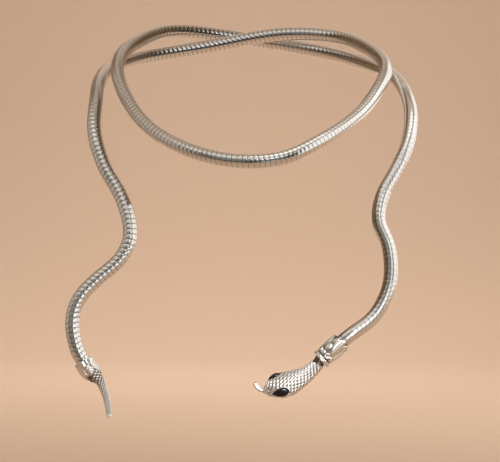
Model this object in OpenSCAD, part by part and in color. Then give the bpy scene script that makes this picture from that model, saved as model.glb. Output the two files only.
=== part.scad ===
// Flexible snake necklace, shown in the form it is worn: a wound metal tube that goes
// twice round the neck, with a cast head at one end and a cast tail at the other.
// Millimetres. The origin is the middle of the neck hollow, +Z up, the front of the
// neck towards -Y, +X to the right of somebody facing the front.

/* [Flexible body] */
// Diameter of the wound tube.
body_d = 6.4; // [6:0.1:6.8]
// Length of tube inside each of the two end fittings.
body_in = 6; // [5:0.2:6.4]
// Straight run of tube outside each fitting.
body_lead = 4.5; // [4:0.5:5]

/* [Fits] */
// Room all round between the tube and the bores that take it.
bore_gap = 0.2; // [0.15:0.05:0.3]
// Room between the neck stem of the head and the front hole of the collar.
stem_gap = 0.25; // [0.2:0.05:0.4]
// Room between each eye and its seat.
eye_gap = 0.15; // [0.1:0.05:0.25]

/* [Head collar] */
// Length of the collar, without the leaf tips that reach over the tube.
collar_l = 12.3; // [11.8:0.1:12.6]
// How far the leaf tips reach back over the tube.
leaf_reach = 1.3; // [0.8:0.1:1.6]
// Height of the raised ornament on both collars.
ornament_h = 0.5; // [0.3:0.05:0.55]
// Number of beads round the front rim.
rim_beads = 12; // [10:1:14]

/* [Head] */
// Diameter of the plain neck stem.
stem_d = 5.2; // [5:0.1:5.4]
// Roll of the head about its own axis, left side towards the front.
head_roll = 36; // [0:1:40]
// Height of the raised scales on the head.
scale_h = 0.4; // [0.2:0.05:0.5]
// Length of the head that one row of scales takes.
scale_l = 1.74; // [1.6:0.02:1.9]

/* [Eyes] */
// Length of each eye stone.
eye_l = 7; // [6.4:0.1:7.4]
// Width of each eye stone.
eye_w = 4; // [3.6:0.1:4.2]
// Rise of the polished dome above the head.
eye_rise = 0.9; // [0.6:0.1:1.2]

/* [Tail] */
// Height of the raised scales on the tail.
tail_scale_h = 0.2; // [0.1:0.02:0.3]
// Length of one row of scales on the tail.
tail_scale_l = 1.5; // [1.4:0.05:1.7]

/* [Hidden] */

silver = [0.83, 0.82, 0.80];
black_stone = [0.03, 0.03, 0.035];

bore_r = body_d/2 + bore_gap;
socket_depth = body_in + 0.8;

// Where each casting stands: the middle of its mouth, and how far its axis is turned
// down from +X about the line of sight.
tail_at = [-74, -73, -119.5];
tail_turn = 56;
collar_at = [40.5, -75, -111];
collar_turn = 140;
head_turn = 156;
neck_bend = head_turn - collar_turn;
// Distance along the collar axis from its mouth to the rear rim of the head.
neck_reach = 14.8;
head_at = place([neck_reach, 0, 0], collar_at, collar_turn);

// Route of the tube from the tail to the head: up beside the neck on the left, round
// behind it, down over the front, round behind it once more and down on the right.
route_by_hand = [
    [-79, -72, -103], [-76, -70.5, -92], [-67, -68, -82.5], [-58.5, -66, -75.5],
    [-53.6, -63.5, -66], [-54.5, -59.5, -56], [-59, -54, -44.5], [-66, -48.5, -33],
    [-71, -41, -17], [-71, -28, -2.5], [-71, -3, 8.5], [-67, 31, 17.5],
    [-51, 52, 24], [-22, 61.5, 29.5], [15, 63, 36], [44, 56, 34],
    [60, 28, 24.5], [64.5, 4, 15], [60, -14, 4.5], [50, -31, -8.5],
    [33, -49, -20.5], [14, -59.5, -29.5], [-8, -61, -30.5], [-30, -51, -24.5],
    [-47.5, -34, -13.5], [-59, -12, 2.5], [-63, 8, 17], [-57.5, 37, 28.5],
    [-38, 62, 37.5], [0, 72.5, 34], [38, 60.5, 26.5], [61.5, 36, 17.5],
    [70, 5, 9.5], [74, -28, -5], [72, -44, -21.5], [65.5, -51, -35.5],
    [59.5, -56, -46], [57.5, -60, -58], [62, -64, -69], [62.3, -68, -85],
    [55.5, -71, -99.5]];
// The tube's run at a fitting, from inside it out along its axis.
fitting_run = [body_in, -body_lead/4, -body_lead];
route = concat(
    [for (x = fitting_run) place([x, 0, 0], tail_at, tail_turn)],
    route_by_hand,
    [for (i = [2:-1:0]) place([fitting_run[i], 0, 0], collar_at, collar_turn)]);
route_rings = 80;
route_sides = 12;

// Head form every 3 mm: [x, sideways, lean of the section, half width, height above,
// depth below].
HEAD_FORM = [
    [-3, -0.25, 38, 2.6, 2.55, 2.5],
    [0, 0.85, 32, 2.8, 2.7, 2.6], [3, 1.95, 21, 3.05, 2.8, 2.65], [6, 2.75, 11, 3.65, 3.1, 2.65],
    [9, 3.15, 4, 4.45, 3.45, 2.8], [12, 3.25, 1, 5.3, 3.7, 2.85], [15, 3.2, 2, 6.0, 3.85, 2.95],
    [18, 2.9, 1, 6.15, 3.8, 3.0], [21, 2.5, -1, 5.2, 3.25, 2.9], [24, 2.0, -6, 3.3, 2.3, 2.2]];
// Closing rings of the snout and then the tongue, which curls to the right: same columns.
TONGUE_FORM = [
    [24.6, 1.9, -11, 2.75, 2.0, 1.9], [25.1, 1.8, -14, 2.25, 1.7, 1.6],
    [25.8, 1.5, -24, 1.45, 1.15, 1.15], [26.3, 1.25, -38, 1.15, 0.9, 0.9],
    [27.1, 0.45, -52, 1.2, 0.85, 0.85], [27.8, -0.85, -66, 1.25, 0.85, 0.85],
    [28.15, -2.1, -80, 1.15, 0.8, 0.8], [28.2, -3.0, -92, 0.9, 0.65, 0.65],
    [28.2, -3.3, -94, 0.45, 0.35, 0.35]];
// Rear flange, stem and rear face of the head: [distance behind the head's origin,
// sideways, lean, radius].
STEM_FORM = [
    [neck_reach - body_in - 0.4, 0, 0, bore_r - stem_gap],
    [neck_reach - body_in - 1.4, 0, 0, bore_r - stem_gap],
    [neck_reach - body_in - 1.5, 0, 0, stem_d/2], [2.9, 0, 1, stem_d/2],
    [2.0, 0.2, 6, stem_d/2], [1.3, 0.5, 11, stem_d/2], [0.9, 0.7, 15, stem_d/2 + 0.02],
    [0.78, 0.76, 16, stem_d/2 + 0.08], [0.66, 0.82, 17, stem_d/2 + 0.14]];
// Turns of the two crossing sets of scale rows round the head, and how much of a turn of
// the second set goes with one of the first along it. The ridges are where the sets meet,
// and the head has one column of points on each ridge and one in each valley.
rows_right = 9;
rows_left = 19;
rows_slant = 0.39;
head_sides = 2*(rows_right + rows_left);
ridge_share = 0.26;
pit_share = 0.24;
pit_phase = -70;
scale_start = -0.5;
scale_rings = 48;
scale_step = 0.525;
// Eye centre on the left flank: [x, angle round from the left side, curve radius there],
// and how fast the eye's middle line climbs the flank towards the rear.
EYE = [19.6, 34, 5.2];
EYE_X = 0;
EYE_A = 1;
EYE_R = 2;
eye_tilt = 1.6;
eye_seat = 0.7;
seat_room = 0.75;
eye_rim = 0.25;
mouth_angle = 6;
mouth_from = 14;
mouth_h = 0.3;

// Tail form: [x, sideways, lean, radius] for the collar, then for the tail proper.
TAIL_FORM = [
    [0, 0, 0, 3.9], [2, 0, 0, 4.0], [4, 0, 0, 4.05], [6, 0.15, 0, 4.0], [8, 0.35, 0, 3.7],
    [10, 0.75, -3, 2.9], [12, 1.2, -8, 2.0], [14, 0.95, -10, 1.75], [16, 0.5, -14, 1.6],
    [18, -0.05, -17, 1.5], [20, -0.7, -20, 1.4], [22, -1.5, -24, 1.3], [24, -2.45, -28, 1.2],
    [26, -3.55, -31, 1.15], [28, -4.8, -33, 1.1]];
tail_scales_round = 8;
tail_sides = 4*tail_scales_round;
tail_collar_l = 11.2;
tail_scales_end = 26.2;
tail_tip = 27.2;

// Ornament on the collars: [x, angle round from the lower edge, half length, half width,
// turn towards the upper edge, part of the full height, kind]. The kinds are 0 for a
// dome, 1 for a leaf, 2 for an open scroll and 3 for a feather, whose barbs are too fine
// for the solid.
COLLAR_MARKS = [
    [2.6, 88, 5.6, 2.1, -7, 1, 1], [5.6, 127, 1.9, 1.45, 0, 0.9, 0],
    [4.2, 172, 4.6, 1.7, 0, 1, 1], [8.8, 83, 1.45, 1.45, 200, 1, 2],
    [8.9, 122, 1.2, 1.1, 30, 0.9, 0], [1.7, 126, 2.2, 1.1, 30, 0.9, 1],
    [4.6, 46, 5.4, 2.0, 6, 0.9, 3], [8.9, 46, 1.4, 1.1, -35, 0.9, 0],
    [1.8, 16, 2.6, 1.6, 0, 0.85, 3], [6.8, 14, 2.8, 1.5, 14, 0.85, 3],
    [8.9, 152, 1.4, 1.1, -20, 0.9, 0]];
TAIL_MARKS = [
    [1.4, 114, 3.6, 2.2, 14, 1, 1], [1.3, 54, 1.8, 1.6, 0, 1, 2],
    [5.0, 124, 2.4, 1.0, -12, 1, 1], [4.6, 155, 5.0, 1.7, -6, 0.9, 3],
    [4.2, 28, 3.8, 1.7, -6, 0.9, 3], [1.2, 180, 1.9, 1.6, 0, 0.85, 0]];
// Nested chevrons on the tail's collar: [x, angle, half length, half width, step, slope].
CHEVRONS = [4.9, 86, 2.9, 2.3, 1.55, 0.7];
// Walls of the head collar outside the bore: [x, wall].
COLLAR_WALL = [
    [0, 0.6], [0.5, 0.7], [2.6, 0.7], [9.9, 0.7], [10.1, 0.45], [10.4, 0.45], [10.6, 0.95],
    [11.2, 1.1], [11.9, 1.1], [12.3, 0.9]];
wall_l = COLLAR_WALL[len(COLLAR_WALL) - 1][0];
collar_sides = 48;
collar_rings = 20;
rim_l = 1.7;
bead_h = 0.14;

// A point of a casting, [along its axis, sideways, towards the front], set in its place.
function place(p, at, turn) = [
    at[0] + p[0]*cos(turn) + p[1]*sin(turn), at[1] - p[2],
    at[2] - p[0]*sin(turn) + p[1]*cos(turn)];

// Smooth curve through the rows of a table, at row position u.
function through(T, u) =
    let(n = len(T), i = min(floor(u), n - 2), t = u - i, b = T[i], c = T[i + 1],
        a = i > 0 ? T[i - 1] : 2*b - c, d = i < n - 2 ? T[i + 2] : 2*c - b)
    0.5*(2*b + (c - a)*t + (2*a - 5*b + 4*c - d)*t*t + (3*b - a - 3*c + d)*t*t*t);

// Row position in a table whose first column is x.
function row_at(T, x, i = 0) = i >= len(T) - 2 || x < T[i + 1][0]
    ? i + (x - T[i][0])/(T[i + 1][0] - T[i][0]) : row_at(T, x, i + 1);
function form(T, x) = through(T, row_at(T, x));

function unit(v) = v/norm(v);

function ramp(x) = max(0, min(1, x));

// Height of one mark of an ornament table where the surface point is u along, v across.
function mark(m, u, v) =
    let(p = (u*cos(m[4]) + v*sin(m[4]))/m[2], q = (v*cos(m[4]) - u*sin(m[4]))/m[3], d = norm([p, q]))
    m[5]*(m[6] == 0 ? min(1, 1.3*sqrt(max(0, 1 - d*d)))
        : m[6] == 2 ? sqrt(max(0, 1 - pow((d - 0.68)/0.32, 2) - 0.6*ramp(p/0.7)))
        : min(1, 1.5*sqrt(max(0, 1 - abs(q) - p*p))));
// How far an angle is from another, in millimetres round a radius. The ornament stands
// twice round a collar, on the front and again on the back.
function round_by(a, b, r) = ((a - b + 450) % 180 - 90)*r*PI/180;
function ornament(M, x, a, r) = max([for (m = M) mark(m, x - m[0], round_by(a, m[1], r))]);
// The tail's ornament, with the chevrons let into it.
function tail_ornament(x, a, r) =
    let(c = CHEVRONS, v = round_by(a, c[1], r), inside = ramp(3*(1 - pow((x - c[0])/c[2], 2) - pow(v/c[3], 2))),
        arms = 0.55 + 0.45*cos(360*(x - c[0] - c[5]*abs(v))/c[4]))
    (1 - inside)*ornament(TAIL_MARKS, x, a, r) + inside*arms;

// A closed skin over rings that all have the same number of points.
module skin(rings, first, last) {
    n = len(rings);
    k = len(rings[0]);
    points = concat([for (r = rings) each r], [first, last]);
    faces = concat(
        [for (i = [0:n - 2], j = [0:k - 1]) [i*k + j, (i + 1)*k + j, (i + 1)*k + (j + 1) % k]],
        [for (i = [0:n - 2], j = [0:k - 1]) [i*k + j, (i + 1)*k + (j + 1) % k, i*k + (j + 1) % k]],
        [for (j = [0:k - 1]) [n*k, j, (j + 1) % k]],
        [for (j = [0:k - 1]) [n*k + 1, (n - 1)*k + (j + 1) % k, (n - 1)*k + j]]);
    polyhedron(points, faces, convexity = 10);
}

// A sleeve: rings over the outside and back through the bore, the last joined to the first.
module sleeve(rings) {
    n = len(rings);
    k = len(rings[0]);
    polyhedron([for (r = rings) each r], concat(
        [for (i = [0:n - 1], j = [0:k - 1]) let(e = (i + 1) % n) [i*k + j, e*k + j, e*k + (j + 1) % k]],
        [for (i = [0:n - 1], j = [0:k - 1]) let(e = (i + 1) % n)
            [i*k + j, e*k + (j + 1) % k, i*k + (j + 1) % k]]), convexity = 10);
}

// One ring of a casting about [x, sideways], leaning, with a radius for each angle.
function ring(x, y, lean, r, k) = [for (j = [0:k - 1]) let(a = 360*j/k, q = r[j]*cos(a))
    [x - q*sin(lean), y + q*cos(lean), r[j]*sin(a)]];
function set_ring(points, at, turn) = [for (p = points) place(p, at, turn)];

// Wound tube, a plain round sweep along the route.
module flex_body() {
    span = len(route) - 1;
    rings = [for (i = [0:route_rings - 1])
        let(u = span*i/(route_rings - 1), c = through(route, u),
            t = unit(through(route, min(u + 0.01, span)) - through(route, max(u - 0.01, 0))),
            s = unit(cross(t, [c[0], c[1], 0])), w = cross(s, t))
        [for (j = [0:route_sides - 1]) let(a = 360*j/route_sides)
            c + body_d/2*(w*cos(a) + s*sin(a))]];
    color(silver) skin(rings, route[0], route[span]);
}

// Cast collar that joins the head to the tube.
module head_collar() {
    outside = [for (i = [0:collar_rings - 1])
        let(x = collar_l*i/(collar_rings - 1), wall = lookup(x*wall_l/collar_l, COLLAR_WALL),
            on_band = x < collar_l - 2.3 ? 1 : 0, rim_x = x - collar_l + rim_l,
            on_rim = rim_x > 0 ? 1 : 0)
        [for (j = [0:collar_sides - 1])
            let(a = 360*j/collar_sides, back = leaf_reach*max(0, cos(2*(a - 66)))*pow(1 - x/collar_l, 2),
                r = bore_r + wall + on_band*ornament_h*ornament(COLLAR_MARKS, x, a, bore_r + wall)
                    + on_rim*bead_h*cos(rim_beads*a)*cos(360*rim_x/rim_l))
            [x - back, r*cos(a), r*sin(a)]]];
    hole_r = stem_d/2 + stem_gap;
    bore = [for (b = [[collar_l, hole_r, 0], [body_in + 2.1, hole_r, 0], [body_in + 1.8, bore_r, 0],
            [0.4, bore_r, 1]])
        [for (j = [0:collar_sides - 1])
            let(a = 360*j/collar_sides, back = b[2]*leaf_reach*max(0, cos(2*(a - 66))))
            [b[0] - back, b[1]*cos(a), b[1]*sin(a)]]];
    color(silver) sleeve([for (r = concat(outside, bore)) set_ring(r, collar_at, collar_turn)]);
}

// Surface of the head: form row, angle round and lift above the plain form.
function on_head(f, a, lift) =
    let(h = f[3]*cos(a), v = (sin(a) > 0 ? f[4] : f[5])*sin(a), n = unit([cos(a)/f[3], sin(a)/f[4]]),
        hh = h + lift*n[0], vv = v + lift*n[1],
        q = hh*cos(head_roll) - vv*sin(head_roll), z = hh*sin(head_roll) + vv*cos(head_roll))
    [f[0] - q*sin(f[2]), f[1] + q*cos(f[2]), z];
// How high on either flank an angle is: 90 on top, 0 at the side, -90 underneath.
function flank(a) = 90 - abs((a + 90) % 360 - 180);
// Half width of the eye's outline, pointed in front and round behind; u runs from -1 to 1.
function eye_half(u) = u > 0 ? 1 - u*u : sqrt(1 - u*u);
// Where a surface point is in that outline: 0 in its middle, 1 at its edge.
function eye_level(x, a, grow) =
    let(v = abs(flank(a) - EYE[EYE_A] + eye_tilt*(x - EYE[EYE_X]))*EYE[EYE_R]*PI/180/(eye_w/2 + grow),
        u = (x - EYE[EYE_X])/(eye_l/2 + grow))
    u > 0 ? v + u*u : norm([u, v]);
// Scales: ridges where the two sets of rows meet, with a row of pits in each valley.
function scales(x, a) =
    let(right = 360*x/scale_l + rows_right*a, left = 360*rows_slant*x/scale_l - rows_left*a)
    0.5 + ridge_share*cos(right - left) + pit_share*cos(right + pit_phase);
// Angle of one column of points of the head, which follows its ridge or its valley.
function column(x, j) = 360*j/head_sides - 360*(1 - rows_slant)*x/scale_l/(rows_right + rows_left);
function head_relief(x, a) =
    let(e = eye_level(x, a, eye_gap + seat_room), f = flank(a), jaw = ramp((x - mouth_from)/2)*ramp((20 - f)/6),
        fade = ramp((f + 35)/20)*ramp((25.2 - x)/1.2)*ramp(2*(e - 1.2))*(1 - jaw),
        groove = jaw*ramp(1 - abs(f - mouth_angle)/7)*mouth_h)
    e < 1 ? -eye_seat : scale_h*scales(x, a)*fade - groove + eye_rim*ramp((1.3 - e)/0.1);

// Cast head with its tongue, its neck stem and the flange that keeps it in the collar.
module head() {
    stem = [for (s = STEM_FORM) ring(-s[0]*cos(neck_bend), s[1] - s[0]*sin(neck_bend),
        neck_bend + s[2], [for (j = [0:head_sides - 1]) s[3]], head_sides)];
    body = [for (i = [0:scale_rings - 1]) let(x = scale_start + i*scale_step, f = form(HEAD_FORM, x))
        [for (j = [0:head_sides - 1]) let(a = column(x, j))
            on_head([x, f[1], f[2], f[3], f[4], f[5]], a, head_relief(x, a))]];
    last_x = scale_start + (scale_rings - 1)*scale_step;
    tongue = [for (f = TONGUE_FORM) [for (j = [0:head_sides - 1]) on_head(f, column(last_x, j), 0)]];
    tip = TONGUE_FORM[len(TONGUE_FORM) - 1];
    end = STEM_FORM[0][0];
    color(silver) skin([for (r = concat(stem, body, tongue)) set_ring(r, head_at, head_turn)],
        place([-end*cos(neck_bend), -end*sin(neck_bend), 0], head_at, head_turn),
        place([tip[0], tip[1] - 0.4, 0], head_at, head_turn));
}

// Pointed oval stone with a domed top, bedded on the curve of the head. Side is 0 for the
// left eye and 1 for the right one.
module eye(side) {
    rows = 11;
    half = 6;
    function stone(u, v, lift) =
        let(x = EYE[EYE_X] + u*eye_l/2, w = v*eye_half(u)*eye_w/2,
            f = EYE[EYE_A] - eye_tilt*u*eye_l/2 + w*180/PI/EYE[EYE_R], a = side == 1 ? 180 - f : f,
            t = form(HEAD_FORM, x))
        on_head([x, t[1], t[2], t[3], t[4], t[5]], a, lift);
    bed = eye_gap - eye_seat;
    rings = [for (i = [0:rows - 1]) let(u = 0.94*(2*i/(rows - 1) - 1)) concat(
        [for (j = [0:half]) let(v = 1 - 2*j/half)
            stone(u, v, 0.1 + (eye_rise - 0.1)*sqrt(max(0, 1 - v*v))*sqrt(1 - u*u))],
        [for (j = [0:half]) stone(u, 2*j/half - 1, bed)])];
    order = side == 0 ? [for (r = rings) [for (j = [len(r) - 1:-1:0]) r[j]]] : rings;
    color(black_stone) skin([for (r = order) set_ring(r, head_at, head_turn)],
        place(stone(-1, 0, bed/2), head_at, head_turn), place(stone(1, 0, bed/2), head_at, head_turn));
}

module eye_left() eye(0);
module eye_right() eye(1);

// Cast tail with its collar and the blind socket that takes the tube.
module tail() {
    socket = [for (x = [socket_depth, 0.4])
        ring(x, 0, 0, [for (j = [0:tail_sides - 1]) bore_r], tail_sides)];
    mouth = ring(-0.1, 0, 0, [for (j = [0:tail_sides - 1]) bore_r + 0.35], tail_sides);
    // Rings close together under the leaves, then two to each row of scales.
    scales_at = tail_collar_l + 0.4;
    places = concat([for (i = [0:11]) 0.3 + 0.6*i], [for (i = [12:-1:1]) scales_at - i*0.375],
        [for (i = [0:floor(2*(tail_scales_end - scales_at)/tail_scale_l)]) scales_at + i*tail_scale_l/2]);
    skin_rings = [for (x = places) let(f = form(TAIL_FORM, x))
        ring(x, f[1], f[2], [for (j = [0:tail_sides - 1])
            let(a = 360*j/tail_sides, leaves = ramp(tail_collar_l - 2.2 + 2.2*cos(2*(a - 150)) - x))
            f[3] + leaves*ornament_h*tail_ornament(x, a, f[3])
                + (1 - leaves)*tail_scale_h*cos(360*(x - scales_at)/tail_scale_l)*cos(tail_scales_round*a)],
            tail_sides)];
    band = [for (b = [[26.3, 0], [26.5, 0.15], [27.1, 0.15], [27.2, -0.2]]) let(f = form(TAIL_FORM, b[0]))
        ring(b[0], f[1], f[2], [for (j = [0:tail_sides - 1]) f[3] + b[1]], tail_sides)];
    end = form(TAIL_FORM, tail_tip);
    color(silver) skin([for (r = concat(socket, [mouth], skin_rings, band))
            set_ring(r, tail_at, tail_turn)],
        place([socket_depth, 0, 0], tail_at, tail_turn), place([tail_tip, end[1], 0], tail_at, tail_turn));
}

flex_body();
head_collar();
head();
eye_left();
eye_right();
tail();
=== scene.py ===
"""Flexible snake necklace in the form it is worn: a tube wound from polished metal strip makes
two loops, and ends in a cast snake head with black stone eyes and a cast tail."""

import math

import bpy
import numpy as np
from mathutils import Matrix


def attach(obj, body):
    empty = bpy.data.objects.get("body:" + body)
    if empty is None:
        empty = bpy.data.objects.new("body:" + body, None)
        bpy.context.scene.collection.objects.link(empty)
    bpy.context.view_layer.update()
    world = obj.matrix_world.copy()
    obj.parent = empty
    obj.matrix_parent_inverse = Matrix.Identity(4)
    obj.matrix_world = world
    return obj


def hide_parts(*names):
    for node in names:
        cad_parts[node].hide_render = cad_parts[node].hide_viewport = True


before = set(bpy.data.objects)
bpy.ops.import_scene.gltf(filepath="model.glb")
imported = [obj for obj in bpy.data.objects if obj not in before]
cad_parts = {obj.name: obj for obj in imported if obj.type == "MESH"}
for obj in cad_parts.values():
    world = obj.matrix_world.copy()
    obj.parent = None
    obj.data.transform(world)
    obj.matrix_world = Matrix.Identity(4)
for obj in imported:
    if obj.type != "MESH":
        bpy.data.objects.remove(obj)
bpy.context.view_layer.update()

MM = 0.001

# Fittings, in millimetres as in the part's source: where the middle of each mouth is, and how
# far the axis is turned down from +X about the line of sight.
TAIL_AT = (-74, -73, -119.5)
TAIL_TURN = 56
COLLAR_AT = (40.5, -75, -111)
COLLAR_TURN = 140
COLLAR_LENGTH = 12.3
HEAD_TURN = 156
NECK_BEND = HEAD_TURN - COLLAR_TURN
NECK_REACH = 14.8
HEAD_ROLL = 36

# Tube: radius, length inside each fitting, and straight run outside it. Then the radii of the
# bores that take it and of the head's stem, and the stem's room in the collar's front hole.
BODY_RADIUS = 3.2
BODY_IN = 6
BODY_LEAD = 4.5
BORE_RADIUS = 3.4
STEM_RADIUS = 2.6
STEM_GAP = 0.25

# Route of the tube's middle from the tail to the head, in millimetres.
ROUTE_BY_HAND = [
    (-79, -72, -103), (-76, -70.5, -92), (-67, -68, -82.5), (-58.5, -66, -75.5),
    (-53.6, -63.5, -66), (-54.5, -59.5, -56), (-59, -54, -44.5), (-66, -48.5, -33),
    (-71, -41, -17), (-71, -28, -2.5), (-71, -3, 8.5), (-67, 31, 17.5),
    (-51, 52, 24), (-22, 61.5, 29.5), (15, 63, 36), (44, 56, 34),
    (60, 28, 24.5), (64.5, 4, 15), (60, -14, 4.5), (50, -31, -8.5),
    (33, -49, -20.5), (14, -59.5, -29.5), (-8, -61, -30.5), (-30, -51, -24.5),
    (-47.5, -34, -13.5), (-59, -12, 2.5), (-63, 8, 17), (-57.5, 37, 28.5),
    (-38, 62, 37.5), (0, 72.5, 34), (38, 60.5, 26.5), (61.5, 36, 17.5),
    (70, 5, 9.5), (74, -28, -5), (72, -44, -21.5), (65.5, -51, -35.5),
    (59.5, -56, -46), (57.5, -60, -58), (62, -64, -69), (62.3, -68, -85),
    (55.5, -71, -99.5)]

# Head form every 3 mm: x, sideways, lean of the section, half width, height above, depth below.
HEAD_FORM = np.array([
    (-3, -0.25, 38, 2.6, 2.55, 2.5),
    (0, 0.85, 32, 2.8, 2.7, 2.6), (3, 1.95, 21, 3.05, 2.8, 2.65), (6, 2.75, 11, 3.65, 3.1, 2.65),
    (9, 3.15, 4, 4.45, 3.45, 2.8), (12, 3.25, 1, 5.3, 3.7, 2.85), (15, 3.2, 2, 6.0, 3.85, 2.95),
    (18, 2.9, 1, 6.15, 3.8, 3.0), (21, 2.5, -1, 5.2, 3.25, 2.9), (24, 2.0, -6, 3.3, 2.3, 2.2)])
# Closing rings of the snout, then the tongue: same columns.
TONGUE_FORM = np.array([
    (24.6, 1.9, -11, 2.75, 2.0, 1.9), (25.1, 1.8, -14, 2.25, 1.7, 1.6),
    (25.8, 1.5, -24, 1.45, 1.15, 1.15), (26.3, 1.25, -38, 1.15, 0.9, 0.9),
    (27.1, 0.45, -52, 1.2, 0.85, 0.85), (27.8, -0.85, -66, 1.25, 0.85, 0.85),
    (28.15, -2.1, -80, 1.15, 0.8, 0.8), (28.2, -3.0, -92, 0.9, 0.65, 0.65),
    (28.2, -3.3, -94, 0.45, 0.35, 0.35)])
# Flange, stem and rear face: distance behind the rim, sideways, extra lean, radius.
STEM_FORM = np.array([
    (8.4, 0, 0, 3.15), (7.4, 0, 0, 3.15), (7.3, 0, 0, 2.6), (2.9, 0, 1, 2.6),
    (2.0, 0.2, 6, 2.6), (1.3, 0.5, 11, 2.6), (0.9, 0.7, 15, 2.62), (0.78, 0.76, 16, 2.68),
    (0.66, 0.82, 17, 2.74)])
# Scales of the head: where they start and end, their height, the length of a row, the left
# set's slant, the turns of both sets, and the ridges' and the pits' shares of the height.
SCALE_START = -0.5
SCALE_END = 24.5
SCALE_HEIGHT = 0.4
SCALE_LENGTH = 1.74
SCALE_SLANT = 0.39
ROWS_RIGHT = 9
ROWS_LEFT = 19
RIDGE_SHARE = 0.26
PIT_SHARE = 0.24
PIT_PHASE = -70

# Eyes: middle along the head and up its flank, the flank's radius there, size, how fast the
# middle line climbs towards the rear, rise of the dome, depth of the seat and height of the
# rim round it.
EYE_X = 19.6
EYE_FLANK = 34
EYE_CURVE = 5.2
EYE_LENGTH = 7.0
EYE_WIDTH = 4.0
EYE_TILT = 1.6
EYE_RISE = 0.9
EYE_SEAT = 0.55
EYE_RIM = 0.3
# Mouth line and nostrils: how high on the flank, where they are along the head, and depth.
MOUTH_FLANK = 6
MOUTH_FROM = 14
MOUTH_DEPTH = 0.3
NOSTRIL_FLANK = 62
NOSTRIL_X = 23.6
NOSTRIL_DEPTH = 0.35

# Tail form every 2 mm: x, sideways, lean, radius.
TAIL_FORM = np.array([
    (0, 0, 0, 3.9), (2, 0, 0, 4.0), (4, 0, 0, 4.05), (6, 0.15, 0, 4.0), (8, 0.35, 0, 3.7),
    (10, 0.75, -3, 2.9), (12, 1.2, -8, 2.0), (14, 0.95, -10, 1.75), (16, 0.5, -14, 1.6),
    (18, -0.05, -17, 1.5), (20, -0.7, -20, 1.4), (22, -1.5, -24, 1.3), (24, -2.45, -28, 1.2),
    (26, -3.55, -31, 1.15), (28, -4.8, -33, 1.1)])
# Tail: where its collar ends, how far the collar's leaf edge swings and where its tips stand,
# and where the scales and the tip end. Then the length of a row of scales, how many stand round
# the tail, their height, and the height of the band round the tip.
TAIL_COLLAR_END = 11.2
TAIL_LEAF_REACH = 2.2
TAIL_LEAF_ANGLE = 150
TAIL_SCALES_END = 26.3
TAIL_TIP = 27.2
TAIL_SCALE_LENGTH = 1.5
TAIL_SCALES_ROUND = 8
TAIL_SCALE_HEIGHT = 0.2
TAIL_BAND_HEIGHT = 0.15

# Ornament: kinds of marks, full height of a mark, and length of the grains between them. Then
# the marks: x, angle, half length, half width, turn, share of the full height, and kind.
DOME, LEAF, SCROLL, FEATHER = 0, 1, 2, 3
ORNAMENT_HEIGHT = 0.5
STIPPLE_LENGTH = 0.72
COLLAR_MARKS = [
    (2.6, 88, 5.6, 2.1, -7, 1, LEAF), (5.6, 127, 1.9, 1.45, 0, 0.9, DOME),
    (4.2, 172, 4.6, 1.7, 0, 1, LEAF), (8.8, 83, 1.45, 1.45, 200, 1, SCROLL),
    (8.9, 122, 1.2, 1.1, 30, 0.9, DOME), (1.7, 126, 2.2, 1.1, 30, 0.9, LEAF),
    (4.6, 46, 5.4, 2.0, 6, 0.9, FEATHER), (8.9, 46, 1.4, 1.1, -35, 0.9, DOME),
    (1.8, 16, 2.6, 1.6, 0, 0.85, FEATHER), (6.8, 14, 2.8, 1.5, 14, 0.85, FEATHER),
    (8.9, 152, 1.4, 1.1, -20, 0.9, DOME)]
TAIL_MARKS = [
    (1.4, 114, 3.6, 2.2, 14, 1, LEAF), (1.3, 54, 1.8, 1.6, 0, 1, SCROLL),
    (5.0, 124, 2.4, 1.0, -12, 1, LEAF), (4.6, 155, 5.0, 1.7, -6, 0.9, FEATHER),
    (4.2, 28, 3.8, 1.7, -6, 0.9, FEATHER), (1.2, 180, 1.9, 1.6, 0, 0.85, DOME)]
# Nested chevrons on the tail's collar: middle, half length and half width, step and slope.
CHEVRONS = (4.9, 86, 2.9, 2.3, 1.55, 0.7)
# Wall of the head's collar outside the bore: x, thickness.
COLLAR_WALL = np.array([
    (0, 0.6), (0.5, 0.7), (2.6, 0.7), (9.9, 0.7), (10.1, 0.45), (10.4, 0.45), (10.6, 0.95),
    (11.2, 1.1), (11.9, 1.1), (12.3, 0.9)])
# Leaf tips over the tube: how far they reach, and where the first one stands. Then the beads
# of the front rim: how many, their height and length, and where they begin.
LEAF_REACH = 1.3
LEAF_ANGLE = 66
RIM_BEADS = 12
RIM_BEAD_HEIGHT = 0.14
RIM_LENGTH = 1.7
RIM_FROM = 10.6


def place(points, at, turn):
    """Casting coordinates (along the axis, sideways, towards the front) set in their place:
    turned down from +X by the angle, front towards -Y, and moved to the mouth's middle."""
    c, s = math.cos(math.radians(turn)), math.sin(math.radians(turn))
    along, across, front = points[..., 0], points[..., 1], points[..., 2]
    return np.stack([at[0] + along*c + across*s, at[1] - front, at[2] - along*s + across*c], -1)


# Middle of the head's rear rim, on the collar's axis.
HEAD_AT = place(np.array((NECK_REACH, 0, 0)), COLLAR_AT, COLLAR_TURN)


def through(table, rows):
    """Smooth curve through a table's rows, read at fractional row positions: between two rows
    a cubic whose slopes are half the difference of their neighbours, the ends mirrored."""
    table = np.asarray(table, float)
    padded = np.vstack([2*table[0] - table[1], table, 2*table[-1] - table[-2]])
    i = np.clip(np.floor(rows).astype(int), 0, len(table) - 2)
    t = (rows - i)[:, None]
    a, b, c, d = (padded[i + k] for k in range(4))
    return 0.5*(2*b + (c - a)*t + (2*a - 5*b + 4*c - d)*t**2 + (3*b - a - 3*c + d)*t**3)


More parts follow.
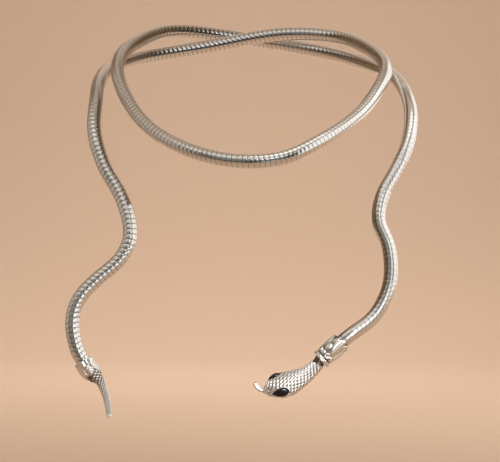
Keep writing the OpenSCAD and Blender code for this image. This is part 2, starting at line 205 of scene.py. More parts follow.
def form(table, x):
    """The table's columns at the given values of its first column, smoothly."""
    columns = through(table, np.interp(x, table[:, 0], np.arange(len(table))))
    columns[:, 0] = x
    return columns


def sin_deg(angle):
    return np.sin(np.radians(angle))


def cos_deg(angle):
    return np.cos(np.radians(angle))


def ramp(x):
    """0 below 0, 1 above 1, and a smooth S between them."""
    x = np.clip(x, 0, 1)
    return x*x*(3 - 2*x)


def angles(sides):
    """Even angles once round, in degrees."""
    return np.arange(sides)*360/sides


def distances(points):
    """Distance along a line of points, at each of them."""
    return np.append(0, np.cumsum(np.linalg.norm(np.diff(points, axis=0), axis=1)))


def skin(name, rings, hollow, ends=None):
    """Mesh over rings, an array (rings, points round, xyz) in millimetres. With two end points
    each end is closed by a fan; without, the last ring joins the first, as in a sleeve. hollow
    is kept on each point as how deep it lies: 0 on top, 1 in the pits; the material paints it
    dark, as tarnish and painted shade."""
    n, k = rings.shape[:2]
    i = np.arange(n if ends is None else n - 1)[:, None]
    j = np.arange(k)[None]
    next_ring, next_point = (i + 1) % n, (j + 1) % k
    quads = np.stack(np.broadcast_arrays(
        i*k + j, i*k + next_point, next_ring*k + next_point, next_ring*k + j), -1).reshape(-1, 4)
    points = rings.reshape(-1, 3)
    depth = np.broadcast_to(hollow, (n, k)).reshape(-1)
    fans = []
    if ends is not None:
        points = np.vstack([points, ends])
        depth = np.append(depth, [0, 0])
        round_about = np.arange(k)
        after = (round_about + 1) % k
        fans = [np.stack([np.full(k, n*k), after, round_about], -1),
                np.stack([np.full(k, n*k + 1), (n - 1)*k + round_about, (n - 1)*k + after], -1)]
    return mesh_object(name, points*MM, quads, fans, depth)


def mesh_object(name, points, quads, fans, hollow, flat_ends=False):
    """Object with a smooth mesh of the quads and the triangle fans, and the hollow attribute.
    Flat ends keep the fans out of the shading of what they close. The fans come first, so that
    the points they share with the quads keep the quads' normals."""
    mesh = bpy.data.meshes.new(name)
    triangles = [corners for fan in fans for corners in fan.tolist()]
    faces = triangles + quads.tolist()
    mesh.from_pydata(points.tolist(), [], faces)
    mesh.shade_smooth()
    if flat_ends:
        mesh.polygons.foreach_set("use_smooth", np.arange(len(faces)) >= len(triangles))
    attribute = mesh.attributes.new("hollow", "FLOAT", "POINT")
    attribute.data.foreach_set("value", np.asarray(hollow, np.float32))
    piece = bpy.data.objects.new(name, mesh)
    bpy.context.scene.collection.objects.link(piece)
    return piece


def finish_piece(piece, node, material):
    """Give a piece its material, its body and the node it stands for."""
    piece.data.materials.append(material)
    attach(piece, "root")
    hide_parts(node)
    return piece


# The wound tube

STRIP_PITCH = 2.32
STRIP_SIDES = 24
# How far the strip's outside lies within the tube's radius.
STRIP_INSET = 0.02
# Spread of the turns' tilt, and its random seed.
STRIP_TILT = 0.012
STRIP_TILT_SEED = 7
# Step of the tube's path, and the width of the window that blurs it.
PATH_STEP = 0.5
PATH_BLUR = 3.0
# One strip from joint to joint: place along the pitch, and height over the tube's radius.
STRIP_PROFILE = np.array([
    (0.0, -0.14), (0.026, -0.07), (0.055, -0.02), (0.105, 0.0), (0.5, 0.004), (0.895, 0.0),
    (0.945, -0.02), (0.974, -0.07)])
# How open the seams are: share of the tube's length from the tail, and the seams' depth.
SEAM_OPEN = ((0, 1.3), (0.1, 1.5), (0.22, 1.7), (0.44, 0.6), (0.5, 1.1), (0.58, 1.7), (0.66, 1.6),
             (0.8, 0.6), (1, 0.45))


def body_path():
    """Route of the tube, in even steps: the smooth curve through the listed points and
    both fittings' axes, then blurred along its length with a Gaussian window. Beyond its ends
    it is carried on straight while it is blurred."""
    run = (BODY_IN, -BODY_LEAD/4, -BODY_LEAD)
    from_tail = place(np.array([(x, 0, 0) for x in run]), TAIL_AT, TAIL_TURN)
    to_head = place(np.array([(x, 0, 0) for x in run[::-1]]), COLLAR_AT, COLLAR_TURN)
    route = np.vstack([from_tail, ROUTE_BY_HAND, to_head])
    fine = through(route, np.linspace(0, len(route) - 1, 40*len(route)))
    along = distances(fine)
    even = np.arange(0, along[-1], PATH_STEP)
    path = np.stack([np.interp(even, along, fine[:, axis]) for axis in range(3)], 1)
    reach = int(4*PATH_BLUR/PATH_STEP)
    before = path[0] + (path[0] - path[1])*np.arange(reach, 0, -1)[:, None]
    after = path[-1] + (path[-1] - path[-2])*np.arange(1, reach + 1)[:, None]
    carried = np.vstack([before, path, after])
    window = np.exp(-0.5*(np.arange(-reach, reach + 1)*PATH_STEP/PATH_BLUR)**2)
    window /= window.sum()
    return np.stack([np.convolve(carried[:, axis], window, "valid") for axis in range(3)], 1)


def unit(vectors):
    """Vectors brought to length 1."""
    return vectors/np.linalg.norm(vectors, axis=-1, keepdims=True)


def path_at(path, distance):
    """Point, and two directions across the path, at distances along it. The first direction
    points away from the loops' upright axis, square to the path."""
    along = distances(path)
    tangents = unit(np.gradient(path, axis=0))
    side = unit(np.cross(tangents, path*(1, 1, 0)))
    out = np.cross(side, tangents)
    return [np.stack([np.interp(distance, along, v[:, axis]) for axis in range(3)], -1)
            for v in (path, out, side)]


def strip_faces(rows, width):
    """Quads over rows of points across the strip, from the first row to the last, and the two
    edges that they leave open. The last point of each row is joined to the first point of the
    row one turn further on."""
    i = np.arange(rows - 1)[:, None]
    j = np.arange(width - 1)[None]
    band = np.stack(np.broadcast_arrays(
        (i + 1)*width + j, (i + 1)*width + j + 1, i*width + j + 1, i*width + j), -1)
    i = np.arange(rows - 1 - STRIP_SIDES)
    edge = width - 1
    joint = np.stack([(i + 1)*width + edge, (i + 1 + STRIP_SIDES)*width,
                      (i + STRIP_SIDES)*width, i*width + edge], -1)
    first_edge = np.append(np.arange(STRIP_SIDES + 1)*width, np.arange(edge, 0, -1))
    last_edge = np.append(np.arange(rows - 1 - STRIP_SIDES, rows)*width + edge,
                          (rows - 1)*width + np.arange(edge - 1, -1, -1))
    return np.vstack([band.reshape(-1, 4), joint]), first_edge, last_edge


def strip_stretch(path, first, last):
    """Interlocked strip wound into a tube, from one turn to another, as one surface: place along
    the tube is the pitch times (turn + place across the strip), angle is the turn, and radius
    is the tube's plus the strip's profile, whose negative heights are multiplied by how open
    the seams are. The strip's trailing edge is the leading edge of the next turn, so the joint
    is one helix. Each turn is tilted a little, by an amount that drifts from turn to turn. Both
    ends, inside a joint or hidden in a collar, are closed by fans."""
    length = distances(path)[-1]
    turns = int(length/STRIP_PITCH) - 1
    pitch = length/(turns + 1)
    rows, width = int((last - first)*STRIP_SIDES) + 1, len(STRIP_PROFILE)
    turn = first + (np.arange(rows)/STRIP_SIDES)[:, None]
    across, height = STRIP_PROFILE[:, 0], STRIP_PROFILE[:, 1]
    tilts = STRIP_TILT*np.random.default_rng(STRIP_TILT_SEED).standard_t(4, turns + 2)
    tilt = np.interp(turn[:, 0], np.arange(turns + 2), tilts)[:, None]
    on_band = height > -0.05
    share, openness = np.array(SEAM_OPEN).T
    height = np.where(height < 0, height*np.interp(turn/turns, share, openness), height)
    radius = BODY_RADIUS - STRIP_INSET + height + on_band*tilt*(2*across - 1)
    centre, out, side = path_at(path, (turn + across)*pitch)
    angle = 2*np.pi*turn[..., None]
    points = centre + radius[..., None]*(out*np.cos(angle) + side*np.sin(angle))
    points = points.reshape(-1, 3)
    # The seams' grooves take the dark colour as they deepen: painted shade in the grooves, with
    # tarnish.
    hollow = np.clip((-height - 0.03)/0.07, 0, 1).reshape(-1)
    quads, first_edge, last_edge = strip_faces(rows, width)
    total = len(points)
    fans = [np.stack([first_edge, np.roll(first_edge, -1), np.full(len(first_edge), total)], -1),
            np.stack([last_edge, np.roll(last_edge, -1), np.full(len(last_edge), total + 1)], -1)]
    ends = np.array([points[first_edge].mean(0), points[last_edge].mean(0)])
    return np.vstack([points, ends]), quads, fans, np.append(hollow, [1, 1])


def wound_tube(name, path, stretches, material):
    """Piece of the tube along the path, made of its stretches from turn to turn."""
    points, quads, fans, hollow = [], [], [], []
    count = 0
    for first, last in stretches:
        part, part_quads, part_fans, part_hollow = strip_stretch(path, first, last)
        points.append(part)
        quads.append(part_quads + count)
        fans += [fan + count for fan in part_fans]
        hollow.append(part_hollow)
        count += len(part)
    piece = mesh_object(name, np.vstack(points)*MM, np.vstack(quads), fans,
                        np.concatenate(hollow), flat_ends=True)
    return finish_piece(piece, "flex_body", material)


# Ornament and scales

def round_by(angle, other, radius):
    """How far an angle is from a mark's, in millimetres round a radius. Marks stand twice round
    a casting, half a turn apart."""
    return ((angle - other + 450) % 180 - 90)*radius*np.pi/180


def ornament(marks, x, angle, radius):
    """Height of the raised ornament, 0 to 1: the highest of its marks at each point. A dome is
    a flattened half ellipse, a leaf has a pointed outline and a sunk midrib, a feather is a
    leaf with slanting barbs, and a scroll is a ring that thins out on one side."""
    height = np.zeros(np.broadcast(x, angle).shape)
    for at, at_angle, half_length, half_width, turn, part, kind in marks:
        u = x - at
        v = round_by(angle, at_angle, radius)
        p = (u*cos_deg(turn) + v*sin_deg(turn))/half_length
        q = (v*cos_deg(turn) - u*sin_deg(turn))/half_width
        if kind in (LEAF, FEATHER):
            level = 1 - np.abs(q) - p*p
            mark = np.minimum(1.5*np.sqrt(np.clip(level, 0, None)), 1)
            mark = mark - 0.3*np.exp(-(q/0.09)**2)*ramp(2.5*level)
            if kind == FEATHER:
                mark = mark*(0.8 + 0.2*cos_deg(360*(p*half_length + np.abs(q)*half_width)/0.8))
        elif kind == SCROLL:
            around = np.hypot(p, q)
            level = 1 - ((around - 0.68)/0.32)**2 - 0.6*ramp(p/0.7)
            mark = np.maximum(np.sqrt(np.clip(level, 0, None)), 0.6*ramp(1 - around/0.25))
        else:
            mark = np.minimum(1.3*np.sqrt(np.clip(1 - p*p - q*q, 0, None)), 1)
        height = np.maximum(height, part*mark)
    return height


def stipple(x, angle, rows):
    """Small grains in diamond order, between -1 and 1."""
    along = 360*x/STIPPLE_LENGTH
    return cos_deg(along + rows*angle)*cos_deg(along - rows*angle)


def flank(angle):
    """How high on either side of the head an angle is: 90 on top, 0 at the side, -90 below."""
    return 90 - np.abs((angle + 90) % 360 - 180)


def head_scales(x, angle):
    """Scales of the head, 0 to 1: beaded ridges that wind forwards to the left, with a row of
    pits in each valley. The ridges follow the difference of two slanting phases; the beads and
    the pits follow the first of them."""
    right = 360*x/SCALE_LENGTH + ROWS_RIGHT*angle
    left = 360*SCALE_SLANT*x/SCALE_LENGTH - ROWS_LEFT*angle
    return 0.5 + RIDGE_SHARE*cos_deg(right - left) + PIT_SHARE*cos_deg(right + PIT_PHASE)


def eye_half(u):
    """Half width of the eye's outline from its rear end, -1, to its front end, 1: a round rear
    and a pointed front."""
    return np.where(u > 0, 1 - u*u, np.sqrt(np.clip(1 - u*u, 0, None)))


def outside_eye(x, angle):
    """Rough distance outside the eye's outline, in millimetres; negative inside it."""
    middle = EYE_FLANK - EYE_TILT*(x - EYE_X)
    v = np.abs(flank(angle) - middle)*EYE_CURVE*np.pi/180/(EYE_WIDTH/2)
    u = (x - EYE_X)/(EYE_LENGTH/2)
    level = np.where(u > 0, v + u*u, np.hypot(u, v))
    return (level - 1)*EYE_WIDTH/2


def on_head(columns, angle, lift):
    """Point of the head: an egg-shaped section, half width sideways and height above or depth
    below, lifted square to itself, then rolled, leaned and set on the head's middle line."""
    x, y, lean, width, above, below = (columns[:, c][:, None] for c in range(6))
    tall = np.where(sin_deg(angle) > 0, above, below)
    nx, nz = cos_deg(angle)/width, sin_deg(angle)/above
    size = np.hypot(nx, nz)
    across = width*cos_deg(angle) + lift*nx/size
    up = tall*sin_deg(angle) + lift*nz/size
    q = across*cos_deg(HEAD_ROLL) - up*sin_deg(HEAD_ROLL)
    z = across*sin_deg(HEAD_ROLL) + up*cos_deg(HEAD_ROLL)
    return np.stack(np.broadcast_arrays(x - q*sin_deg(lean), y + q*cos_deg(lean), z), -1)


def head_relief(x, angle):
    """Lift of the cast surface, and how deep it lies: scales that fade out underneath, on the
    lips and round the eyes, the mouth line, nostrils, the eye seats and the bright rims round
    them."""
    beside = outside_eye(x, angle)
    height = flank(angle)
    lips = ramp((x - MOUTH_FROM)/2)*ramp((17 - height)/5)
    fade = ramp((height + 35)/20)*ramp((25.2 - x)/1.2)*ramp((beside - 0.3)/0.4)*(1 - lips)
    scales = head_scales(x, angle)
    mouth = -MOUTH_DEPTH*ramp((x - MOUTH_FROM)/3)*np.exp(-((height - MOUTH_FLANK)/2.2)**2)
    nostril = -NOSTRIL_DEPTH*np.exp(-((x - NOSTRIL_X)/0.35)**2 - ((height - NOSTRIL_FLANK)/7)**2)
    rim = EYE_RIM*np.exp(-((beside - 0.28)/0.17)**2)
    seat = -EYE_SEAT*ramp((0.1 - beside)/0.07)
    # Dark colour in the pits between the scales, the mouth line and the nostrils: painted shade in
    # them, with tarnish.
    depth = fade*ramp((0.42 - scales)/0.3) + ramp(-3*mouth) + ramp(-3*nostril)
    return SCALE_HEIGHT*scales*fade + mouth + nostril + rim + seat + 0.2*lips, np.minimum(depth, 1)


def head_casting(material):
    """Flange, stem and rim as leaning circles, then the scaled head, the snout and the tongue."""
    sides, stem_rows, body_rows, tongue_rows = 300, 50, 240, 40
    angle = angles(sides)[None]
    stem = through(STEM_FORM, np.linspace(0, len(STEM_FORM) - 1, stem_rows))
    behind, aside, lean, radius = (stem[:, c][:, None] for c in range(4))
    x = -behind*math.cos(math.radians(NECK_BEND))
    y = aside - behind*math.sin(math.radians(NECK_BEND))
    q, z = radius*cos_deg(angle), radius*sin_deg(angle)
    stem_rings = np.stack(np.broadcast_arrays(
        x - q*sin_deg(lean + NECK_BEND), y + q*cos_deg(lean + NECK_BEND), z), -1)
    along = np.linspace(SCALE_START, SCALE_END, body_rows)
    last, snout = HEAD_FORM[-1, 0], TONGUE_FORM[0, 0]
    columns = form(HEAD_FORM, np.minimum(along, last))
    over = np.clip((along - last)/(snout - last), 0, 1)[:, None]
    columns = columns*(1 - over) + TONGUE_FORM[0]*over
    columns[:, 0] = along
    lift, hollow = head_relief(along[:, None], angle)
    body_rings = on_head(columns, angle, lift)
    tongue = through(TONGUE_FORM, np.linspace(0.1, len(TONGUE_FORM) - 1, tongue_rows))
    tongue_rings = on_head(tongue, angle, 0)
    rings = np.vstack([stem_rings, body_rings, tongue_rings])
    # The whole stem takes the full dark colour: painted shade in the gap between the collar and
    # the head.
    depth = np.vstack([np.ones((stem_rows, sides)), hollow, np.zeros((tongue_rows, sides))])
    ends = np.array([stem_rings[0].mean(0), tongue_rings[-1].mean(0) - (0, 0.25, 0)])
    piece = skin("head_casting", place(rings, HEAD_AT, HEAD_TURN), depth,
                 place(ends, HEAD_AT, HEAD_TURN))
    return finish_piece(piece, "head", material)


def eye_stone(node, side, material):
    """Polished stone on the eye's outline: a domed top over a flat girdle and a bed that
    follows the head. side is 1 for the left eye and -1 for the right one."""
    half, rows = 24, 61
    u = -cos_deg(np.linspace(4, 176, rows))[:, None]
    v = np.concatenate([np.linspace(1, -1, half + 1), np.linspace(-1, 1, half + 1)])[None]
    top = np.arange(2*half + 2)[None] <= half
    dome = np.sqrt(np.clip(1 - v*v, 0, None))*np.sqrt(np.clip(1 - u*u, 0, None))
    lift = np.where(top, 0.05 + (EYE_RISE - 0.05)*dome, 0.1 - EYE_SEAT)
    across = v*eye_half(u)*EYE_WIDTH/2
    height = EYE_FLANK - EYE_TILT*u*EYE_LENGTH/2 + across*180/np.pi/EYE_CURVE
    angle = height if side == 1 else 180 - height
    columns = form(HEAD_FORM, (EYE_X + u*EYE_LENGTH/2)[:, 0])
    rings = on_head(columns, angle, lift)
    if side == 1:
        rings = rings[:, ::-1]
    ends = np.array([rings[0].mean(0), rings[-1].mean(0)])
    piece = skin(node + "_stone", place(rings, HEAD_AT, HEAD_TURN), np.zeros((1, 1)),
                 place(ends, HEAD_AT, HEAD_TURN))
    return finish_piece(piece, node, material)


def collar_casting(material):
    """Sleeve over the end of the tube: wall plus ornament outside, beads on the front rim, a
    rear edge drawn out into leaf tips, and the bore and front hole inside."""
    sides, rows = 360, 200
    angle = angles(sides)[None]
    x = np.linspace(0, COLLAR_LENGTH, rows)[:, None]
    wall = np.interp(x, COLLAR_WALL[:, 0], COLLAR_WALL[:, 1])
    on_band = ramp((10.1 - x)/0.3)
    relief = ornament(COLLAR_MARKS, x, angle, BORE_RADIUS + 0.7)
    ground = 1 - ramp(3*relief)
    grains = 0.05*stipple(x, angle, 18)*ground
    over_rim = x - RIM_FROM
    beads = (RIM_BEAD_HEIGHT*cos_deg(RIM_BEADS*angle)*cos_deg(360*over_rim/RIM_LENGTH)
             *ramp(over_rim/0.2))
    radius = BORE_RADIUS + wall + on_band*(ORNAMENT_HEIGHT*relief + grains) + beads
    tips = LEAF_REACH*np.clip(cos_deg(2*(angle - LEAF_ANGLE)), 0, None)
    back = tips*(1 - x/COLLAR_LENGTH)**2
    outside = np.stack([x - back, radius*cos_deg(angle), radius*sin_deg(angle)], -1)
    # Front hole, bore and its mouth: x, radius, and share of the leaf tips' reach.
    hole = STEM_RADIUS + STEM_GAP
    inside = np.array([(COLLAR_LENGTH + 0.02, hole + 0.9, 0), (COLLAR_LENGTH, hole, 0),
                       (BODY_IN + 2.1, hole, 0), (BODY_IN + 1.8, BORE_RADIUS, 0),
                       (0.4, BORE_RADIUS, 1), (-0.05, BORE_RADIUS + 0.3, 1)])
    bore_x, bore_r, bore_back = (inside[:, c][:, None] for c in range(3))
    bore = np.stack(np.broadcast_arrays(
        bore_x - bore_back*tips, bore_r*cos_deg(angle), bore_r*sin_deg(angle)), -1)
    # The ground between the marks and the thin groove behind the front rim take the dark colour:
    # painted shade in them, with tarnish.
    hollow = np.vstack([0.95*ground*on_band + 0.9*(wall < 0.6), np.zeros((len(inside), sides))])
    rings = place(np.vstack([outside, bore]), COLLAR_AT, COLLAR_TURN)
    piece = skin("head_collar_casting", rings, hollow)
    return finish_piece(piece, "head_collar", material)


def tail_casting(material):
    """Socket, leafy collar and scaled tail as one skin of leaning circles, with a banded tip."""
    sides, rows = 240, 405
    angle = angles(sides)[None]
    # Bore and mouth of the socket: x, radius.
    socket = np.array([(BODY_IN + 0.8, BORE_RADIUS), (0.4, BORE_RADIUS), (0, BORE_RADIUS + 0.15),
                       (-0.1, BORE_RADIUS + 0.3), (0, 3.85)])
    x = np.linspace(0.1, TAIL_TIP, rows)
    columns = form(TAIL_FORM, x)
    x = x[:, None]
    radius = columns[:, 3][:, None]
    edge = TAIL_COLLAR_END + TAIL_LEAF_REACH*(cos_deg(2*(angle - TAIL_LEAF_ANGLE)) - 1)
    leaves = ramp((edge - x)/1.0)
    at, at_angle, half_length, half_width, step, slope = CHEVRONS
    v = round_by(angle, at_angle, radius)
    arms = cos_deg(360*(x - at - slope*np.abs(v))/step)
    inside = ramp(3*(1 - ((x - at)/half_length)**2 - (v/half_width)**2))
    relief = ornament(TAIL_MARKS, x, angle, radius)
    relief = relief*(1 - inside) + inside*(0.55 + 0.45*arms)
    ground = 1 - ramp(3*relief)
    relief = relief + 0.15*stipple(x, angle, 16)*ground
    scaled = (1 - leaves)*ramp((TAIL_SCALES_END - x)/0.3)
    wave = (cos_deg(360*(x - TAIL_COLLAR_END - 0.4)/TAIL_SCALE_LENGTH)
            *cos_deg(TAIL_SCALES_ROUND*angle))
    gaps = ramp(0.3 + 0.45*ramp(radius - 1.3) - 1.5*wave)
    band = ramp((x - TAIL_SCALES_END)/0.2)*ramp((TAIL_TIP - 0.05 - x)/0.2)
    radius = (radius + leaves*ORNAMENT_HEIGHT*relief + scaled*TAIL_SCALE_HEIGHT*wave
              + TAIL_BAND_HEIGHT*band - 0.3*ramp((x - TAIL_TIP + 0.25)/0.25))
    lean = columns[:, 2][:, None]
    q = radius*cos_deg(angle)
    skin_rings = np.stack(np.broadcast_arrays(
        x - q*sin_deg(lean), columns[:, 1][:, None] + q*cos_deg(lean), radius*sin_deg(angle)), -1)
    at, r = socket[:, 0][:, None], socket[:, 1][:, None]
    socket_rings = np.stack(np.broadcast_arrays(at, r*cos_deg(angle), r*sin_deg(angle)), -1)
    rings = np.vstack([socket_rings, skin_rings])
    # The ground between the marks and the gaps between the scales take the dark colour: painted
    # shade in them, with tarnish.
    hollow = np.vstack([np.zeros((len(socket), sides)), 0.95*leaves*ground + scaled*gaps])
    ends = np.array([(BODY_IN + 0.8, 0, 0), (TAIL_TIP, columns[-1, 1], 0)])
    piece = skin("tail_casting", place(rings, TAIL_AT, TAIL_TURN), hollow,
                 place(ends, TAIL_AT, TAIL_TURN))
    return finish_piece(piece, "tail", material)


# Materials

def new_material(name):
    """Material with nodes, its nodes and its links."""
    material = bpy.data.materials.new(name)
    material.use_nodes = True
    return material, material.node_tree.nodes, material.node_tree.links


def add_noise(nodes, links, scale, detail):
    """Soft noise on Object coordinates."""
    where = nodes.new("ShaderNodeTexCoord")
    noise = nodes.new("ShaderNodeTexNoise")
    noise.inputs["Scale"].default_value = scale
    noise.inputs["Detail"].default_value = detail
    links.new(where.outputs["Object"], noise.inputs["Vector"])
    return noise


def map_range(nodes, links, source, low, high):
    """The source's 0 to 1 stretched to run from low to high."""
    ranged = nodes.new("ShaderNodeMapRange")
    ranged.inputs["To Min"].default_value = low
    ranged.inputs["To Max"].default_value = high
    links.new(source, ranged.inputs["Value"])
    return ranged.outputs["Result"]


def wander_between(nodes, links, scale, first, second):
    """Let the base colour wander between two colours with a soft noise."""
    wander = add_noise(nodes, links, scale, 2)
    mix = nodes.new("ShaderNodeValToRGB")
    mix.color_ramp.elements[0].color = (*first, 1)
    mix.color_ramp.elements[1].color = (*second, 1)
    links.new(wander.outputs["Fac"], mix.inputs["Fac"])
    links.new(mix.outputs["Color"], nodes["Principled BSDF"].inputs["Base Color"])


def silver(name, bright, tarnish_and_shade, smooth, rough, grain_scale, grain_depth):
    """Polished silver-coloured metal: the colour goes from bright on the raised parts to a dark
    colour in the hollows, partly tarnish and partly painted shade in seams, pits, grooves and
    gaps, roughness wanders between two values with a soft noise, and a fine grain gives the
    surface its last unevenness."""
    material, nodes, links = new_material(name)
    shader = nodes["Principled BSDF"]
    shader.inputs["Metallic"].default_value = 1
    depth = nodes.new("ShaderNodeAttribute")
    depth.attribute_name = "hollow"
    # The hollow attribute mixes in the dark colour: partly tarnish, partly painted shade in seams,
    # pits, grooves and gaps.
    mix = nodes.new("ShaderNodeMix")
    mix.data_type = "RGBA"
    mix.inputs["A"].default_value = (*bright, 1)
    mix.inputs["B"].default_value = (*tarnish_and_shade, 1)
    links.new(depth.outputs["Fac"], mix.inputs["Factor"])
    links.new(mix.outputs["Result"], shader.inputs["Base Color"])
    wander = add_noise(nodes, links, 120, 3)
    roughness = map_range(nodes, links, wander.outputs["Fac"], smooth, rough)
    links.new(roughness, shader.inputs["Roughness"])
    grain = add_noise(nodes, links, grain_scale, 4)
    bump = nodes.new("ShaderNodeBump")
    bump.inputs["Strength"].default_value = 0.35
    bump.inputs["Distance"].default_value = grain_depth
    links.new(grain.outputs["Fac"], bump.inputs["Height"])
    links.new(bump.outputs["Normal"], shader.inputs["Normal"])
    return material


def black_stone():
    """Opaque black stone with a hard clear polish and a faint wandering in its depth."""
    material, nodes, links = new_material("black_stone")
    shader = nodes["Principled BSDF"]
    shader.inputs["Roughness"].default_value = 0.04
    shader.inputs["Specular IOR Level"].default_value = 0.3
    wander_between(nodes, links, 300, (0.002, 0.002, 0.002), (0.012, 0.011, 0.011))
    return material


def paper(name, colour):
    """Matt pale backdrop with a barely visible mottle."""
    material, nodes, links = new_material(name)
    nodes["Principled BSDF"].inputs["Roughness"].default_value = 0.9
    wander_between(nodes, links, 2, [0.96*c for c in colour], colour)
    return material


# Stage, light and camera

# Camera in metres from the origin, its focal length in pixels of the picture, and its sensor.
CAMERA_DISTANCE = 1.160
CAMERA_HEIGHT = -0.062
CAMERA_FOCAL_PIXELS = 2455
PICTURE_WIDTH_PIXELS = 500
SENSOR_WIDTH_MM = 36


def sweep(material):
    """Round floor that rises into a wall at the back: a profile of radius and height, flat,
    then a quarter circle, then upright, turned about an upright axis. Its height is multiplied
    by 0 at the front and sides and by 1 at the back. Its radius is multiplied by less than 1
    at the sides, and in front so that the last ring runs along a straight edge. Faces look
    in."""
    middle, floor_z, flat, bend, top, sides = (0, 0.1), -0.2, 1.3, 0.9, 1.6, 96
    floor_front, side_share = -0.45, 0.45
    quarter = np.linspace(0, np.pi/2, 24)
    radius = np.concatenate([[0.02], flat + bend*np.sin(quarter), [flat + bend]])[:, None]
    height = np.concatenate([[0], bend - bend*np.cos(quarter), [top]])[:, None]
    angle = np.radians(angles(sides))[None]
    rise = ramp((np.sin(angle) - 0.5)/0.3)
    reach = side_share + (1 - side_share)*ramp((np.sin(angle) - 0.2)/0.5)
    straight = (middle[1] - floor_front)/(flat + bend)
    radius = radius*np.minimum(reach, straight/np.maximum(-np.sin(angle), 0.01))
    points = np.stack(np.broadcast_arrays(
        middle[0] + radius*np.cos(angle), middle[1] + radius*np.sin(angle),
        floor_z + height*rise), -1).reshape(-1, 3)
    i = np.arange(len(radius) - 1)[:, None]*sides
    j, after = np.arange(sides)[None], (np.arange(sides)[None] + 1) % sides
    quads = np.stack(np.broadcast_arrays(i + j, i + sides + j, i + sides + after, i + after), -1)
    centre = np.stack([np.full(sides, len(points)), j[0], after[0]], -1)
    points = np.vstack([points, (*middle, floor_z)])
    piece = mesh_object("backdrop", points, quads.reshape(-1, 4), [centre], np.zeros(len(points)))
    piece.data.materials.append(material)
    return piece


def direction(azimuth, elevation):
    """Unit vector from the necklace: azimuth 0 is the camera's side, 90 the picture's right."""
    return np.array((sin_deg(azimuth)*cos_deg(elevation), -cos_deg(azimuth)*cos_deg(elevation),
                     sin_deg(elevation)))


# Point that the soft boxes round the necklace face.
LIGHT_TARGET = np.array((0, -0.05, -0.05))


def soft_box(name, where, target, size, brightness, colour, reflected=True):
    """Rectangular light that faces its target; its power follows from its brightness and its
    size. One that isn't reflected lights the backdrop and leaves no mark on the metal."""
    data = bpy.data.lights.new(name, "AREA")
    data.shape = "RECTANGLE"
    data.size, data.size_y = size
    data.energy = brightness*math.pi*size[0]*size[1]
    data.color = colour
    box = bpy.data.objects.new(name, data)
    way = np.array(target) - where
    box.location = where
    box.rotation_euler = (math.pi/2 + math.atan2(way[2], math.hypot(way[0], way[1])), 0,
                          math.atan2(-way[0], way[1]))
    box.visible_camera = False
    box.visible_glossy = reflected
    bpy.context.scene.collection.objects.link(box)
    return box


def box_around(name, azimuth, elevation, distance, size, brightness, colour):
    """Soft box in a direction and at a distance from the target."""
    where = LIGHT_TARGET + distance*direction(azimuth, elevation)
    return soft_box(name, where, LIGHT_TARGET, size, brightness, colour)


def only_on(box, pieces):
    """Let a light reach these pieces alone."""
    lit = bpy.data.collections.new(box.name + "_pieces")
    for piece in pieces:
        lit.objects.link(piece)
    box.light_linking.receiver_collection = lit


# Parts of a side box: share of its brightness, and how many of the tube's pieces it reaches.
# Then how far the parts stand from each other.
FADE_STEPS = ((0.5, 1), (0.35, 2), (0.15, 3))
FADE_GAP = 0.002


def make_lights(backdrop, tail_end, loops, castings, stones):
    """Soft boxes round the necklace. The right boxes are kept off the upper stretches on the
    left and the left box off those on the right, so each side of the loops keeps a dark edge.
    loops are the tube's pieces from left to right, and a side box fades out over them. Its
    parts stand a little apart, because a reflection shows one alone of two in one place. The
    near boxes draw streaks on the hanging ends and on the upper right strand, and the last two
    boxes reach only the castings and only the stones."""
    always = [backdrop, tail_end, *castings, *stones]
    for name, azimuth, elevation, distance, size, brightness, colour, reached in (
            ("right_front_box", 76, 22, 1.0, (0.9, 1.25), 0.92, (1, 1, 0.985), loops[::-1]),
            ("right_side_box", 126, 20, 0.9, (0.8, 1.15), 0.88, (1, 0.995, 0.98), loops[::-1]),
            ("left_box", -92, 24, 1.0, (1.3, 1.2), 0.31, (1, 0.94, 0.86), loops)):
        for share, pieces in FADE_STEPS:
            box = box_around(f"{name}_{pieces}", azimuth, elevation, distance + FADE_GAP*pieces,
                             size, share*brightness, colour)
            only_on(box, [*always, *reached[:pieces]])
    box_around("front_box", 22, 28, 1.0, (0.45, 0.36), 0.9, (1, 1, 0.985))
    box_around("front_left_box", -26, 16, 1.0, (0.85, 0.75), 0.18, (1, 0.96, 0.89))
    box_around("top_box", -14, 54, 0.95, (1.1, 0.55), 0.6, (1, 0.97, 0.93))
    box_around("overhead_box", 60, 100, 1.2, (1.4, 1.1), 0.3, (1, 0.88, 0.75))
    box_around("back_box", 172, 33, 1.1, (0.7, 0.6), 0.35, (1, 0.9, 0.8))
    for name, where, target in (
            ("left_near_box", (0.025, -0.2, -0.105), (-0.06, -0.066, -0.13)),
            ("right_near_box", (0.114, -0.208, -0.095), (0.06, -0.06, -0.12)),
            ("right_above_box", (0.085, -0.06, 0.15), (0.066, -0.03, -0.01))):
        near = soft_box(name, where, target, (0.16, 0.1), 0.13, (1, 1, 0.98))
        near.data.spread = math.radians(60)
    for name, where, target, size, brightness, spread in (
            ("wall_light", (0, 1.2, 1.5), (0, 2.2, 0.1), (0.8, 0.4), 5.2, 100),
            ("floor_light", (0, 1.1, 1.4), (0, 1.0, -0.2), (0.8, 0.8), 2.2, 80)):
        light = soft_box(name, where, target, size, brightness, (1, 0.96, 0.93), reflected=False)
        light.data.spread = math.radians(spread)
    only_on(box_around("castings_box", 15, 18, 1.0, (1.0, 0.9), 1.6, (1, 1, 1)), castings)
    only_on(box_around("eye_glint_box", 4, 42, 1.0, (0.66, 0.26), 36, (1, 1, 1)), stones)


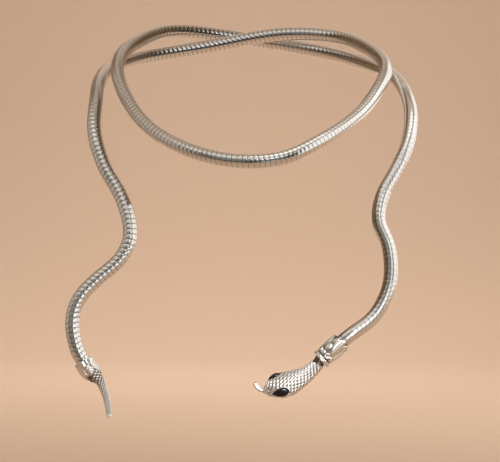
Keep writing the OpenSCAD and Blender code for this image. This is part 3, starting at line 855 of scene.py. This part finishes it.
def make_world():
    """Dim surroundings, darkest behind the camera and warm brown at the back; where the camera
    sees past the floor it sees the floor's pale colour."""
    world = bpy.data.worlds.new("dim_studio")
    world.use_nodes = True
    nodes, links = world.node_tree.nodes, world.node_tree.links
    where = nodes.new("ShaderNodeTexCoord")
    parts = nodes.new("ShaderNodeSeparateXYZ")
    links.new(where.outputs["Generated"], parts.inputs["Vector"])
    level = nodes.new("ShaderNodeMapRange")
    level.inputs["From Min"].default_value = -0.9
    level.inputs["From Max"].default_value = 0.4
    links.new(parts.outputs["Y"], level.inputs["Value"])
    shade = nodes.new("ShaderNodeValToRGB")
    shade.color_ramp.elements[0].color = (0.025, 0.021, 0.017, 1)
    shade.color_ramp.elements[1].color = (0.15, 0.085, 0.04, 1)
    links.new(level.outputs["Result"], shade.inputs["Fac"])
    ray = nodes.new("ShaderNodeLightPath")
    mix = nodes.new("ShaderNodeMix")
    mix.data_type = "RGBA"
    mix.inputs["B"].default_value = (0.70, 0.51, 0.37, 1)
    links.new(ray.outputs["Is Camera Ray"], mix.inputs["Factor"])
    links.new(shade.outputs["Color"], mix.inputs["A"])
    links.new(mix.outputs["Result"], nodes["Background"].inputs["Color"])
    bpy.context.scene.world = world


def make_camera():
    """Level camera in front of the necklace, at the photograph's distance and height."""
    data = bpy.data.cameras.new("camera")
    data.sensor_width = SENSOR_WIDTH_MM
    data.lens = CAMERA_FOCAL_PIXELS/PICTURE_WIDTH_PIXELS*SENSOR_WIDTH_MM
    data.clip_start = 0.05
    data.clip_end = 20
    camera = bpy.data.objects.new("camera", data)
    camera.location = (0, -CAMERA_DISTANCE, CAMERA_HEIGHT)
    camera.rotation_euler = (math.pi/2, 0, 0)
    bpy.context.scene.collection.objects.link(camera)
    bpy.context.scene.camera = camera


make_camera()
backdrop = sweep(paper("pale_paper", (0.72, 0.53, 0.39)))

# The dark colours of both metals are tarnish together with painted shade in the hollows.
strip_metal = silver("strip_metal", bright=(0.90, 0.892, 0.87), tarnish_and_shade=(0.12, 0.10, 0.08),
                     smooth=0.12, rough=0.22, grain_scale=1500, grain_depth=0.00001)
cast_metal = silver("cast_metal", bright=(0.95, 0.94, 0.92), tarnish_and_shade=(0.17, 0.15, 0.13),
                    smooth=0.22, rough=0.34, grain_scale=2200, grain_depth=0.00002)
stone = black_stone()

# Stretches in turns from the tail. Whole turns put the joints on the outer side of the loops and
# half turns on the inner side, away from the camera.
route = body_path()
tail_end = wound_tube("tube_tail_end", route, [(0, 36.5)], strip_metal)
loops = [wound_tube(name, route, stretches, strip_metal) for name, stretches in (
    ("tube_left", [(36.5, 116), (227.5, 304)]),
    ("tube_left_middle", [(116, 125), (218.5, 227.5), (304, 313)]),
    ("tube_right_middle", [(125, 134), (209.5, 218.5), (313, 322)]),
    ("tube_right", [(134, 209.5), (322, 434)]))]
castings = [head_casting(cast_metal), collar_casting(cast_metal), tail_casting(cast_metal)]
stones = [eye_stone("eye_left", 1, stone), eye_stone("eye_right", -1, stone)]

make_lights(backdrop, tail_end, loops, castings, stones)
make_world()

bpy.context.scene.view_settings.view_transform = "Standard"
